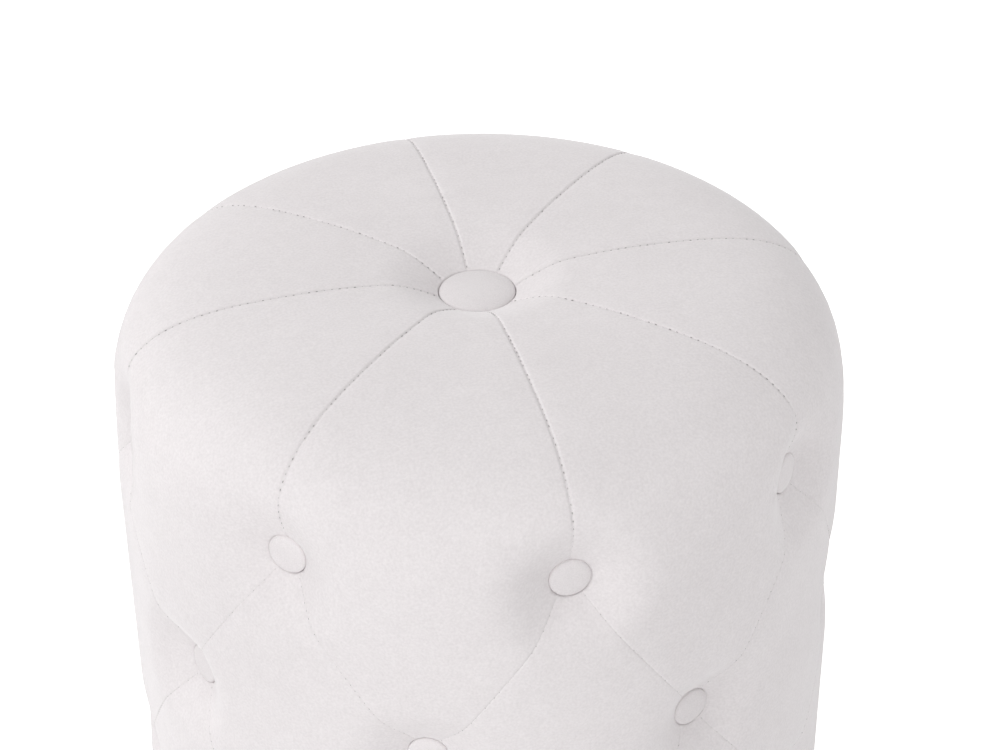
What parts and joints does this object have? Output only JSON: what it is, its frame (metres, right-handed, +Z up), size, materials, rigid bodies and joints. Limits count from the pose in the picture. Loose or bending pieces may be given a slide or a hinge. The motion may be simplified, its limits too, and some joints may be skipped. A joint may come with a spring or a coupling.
{
  "type": "tufted pouf",
  "caption": "Round upholstered pouf with a velvet cover, a buttoned seat, diamond tufting on the side and nail-on glides.",
  "frame": {"origin": "on the floor, on the axis of the pouf", "axes": "+Z up along the axis; the first row of buttons stands on the X and Y axes and the diagonals between them"},
  "size_m": [0.37, 0.37, 0.4638],
  "materials": {
    "velvet": "short off-white velvet pile with a soft sheen",
    "button_velvet": "the same velvet drawn over a button shell",
    "foam": "open-cell foam",
    "twine": "waxed tufting twine",
    "toggle": "raw beech",
    "plywood": "raw plywood",
    "softwood": "planed pine",
    "hardboard": "raw hardboard",
    "nail_steel": "bright wire nail",
    "dust_cloth": "black nonwoven",
    "glide_plastic": "moulded black plastic"
  },
  "bodies": {
    "root": {"velvet_cover": "velvet", "side_foam": "foam", "top_foam": "foam", "top_button": "button_velvet", "side_buttons_row_1": "button_velvet", "side_buttons_row_2": "button_velvet", "side_buttons_row_3": "button_velvet", "side_buttons_row_4": "button_velvet", "button_twines": "twine", "twine_toggles": "toggle", "base_disc": "plywood", "top_disc": "plywood", "frame_post_1": "softwood", "frame_post_2": "softwood", "frame_post_3": "softwood", "frame_post_4": "softwood", "frame_nails": "nail_steel", "wall_sheet": "hardboard", "dust_cover": "dust_cloth", "glides": "glide_plastic", "glide_nails": "nail_steel"}
  },
  "joints": []
}
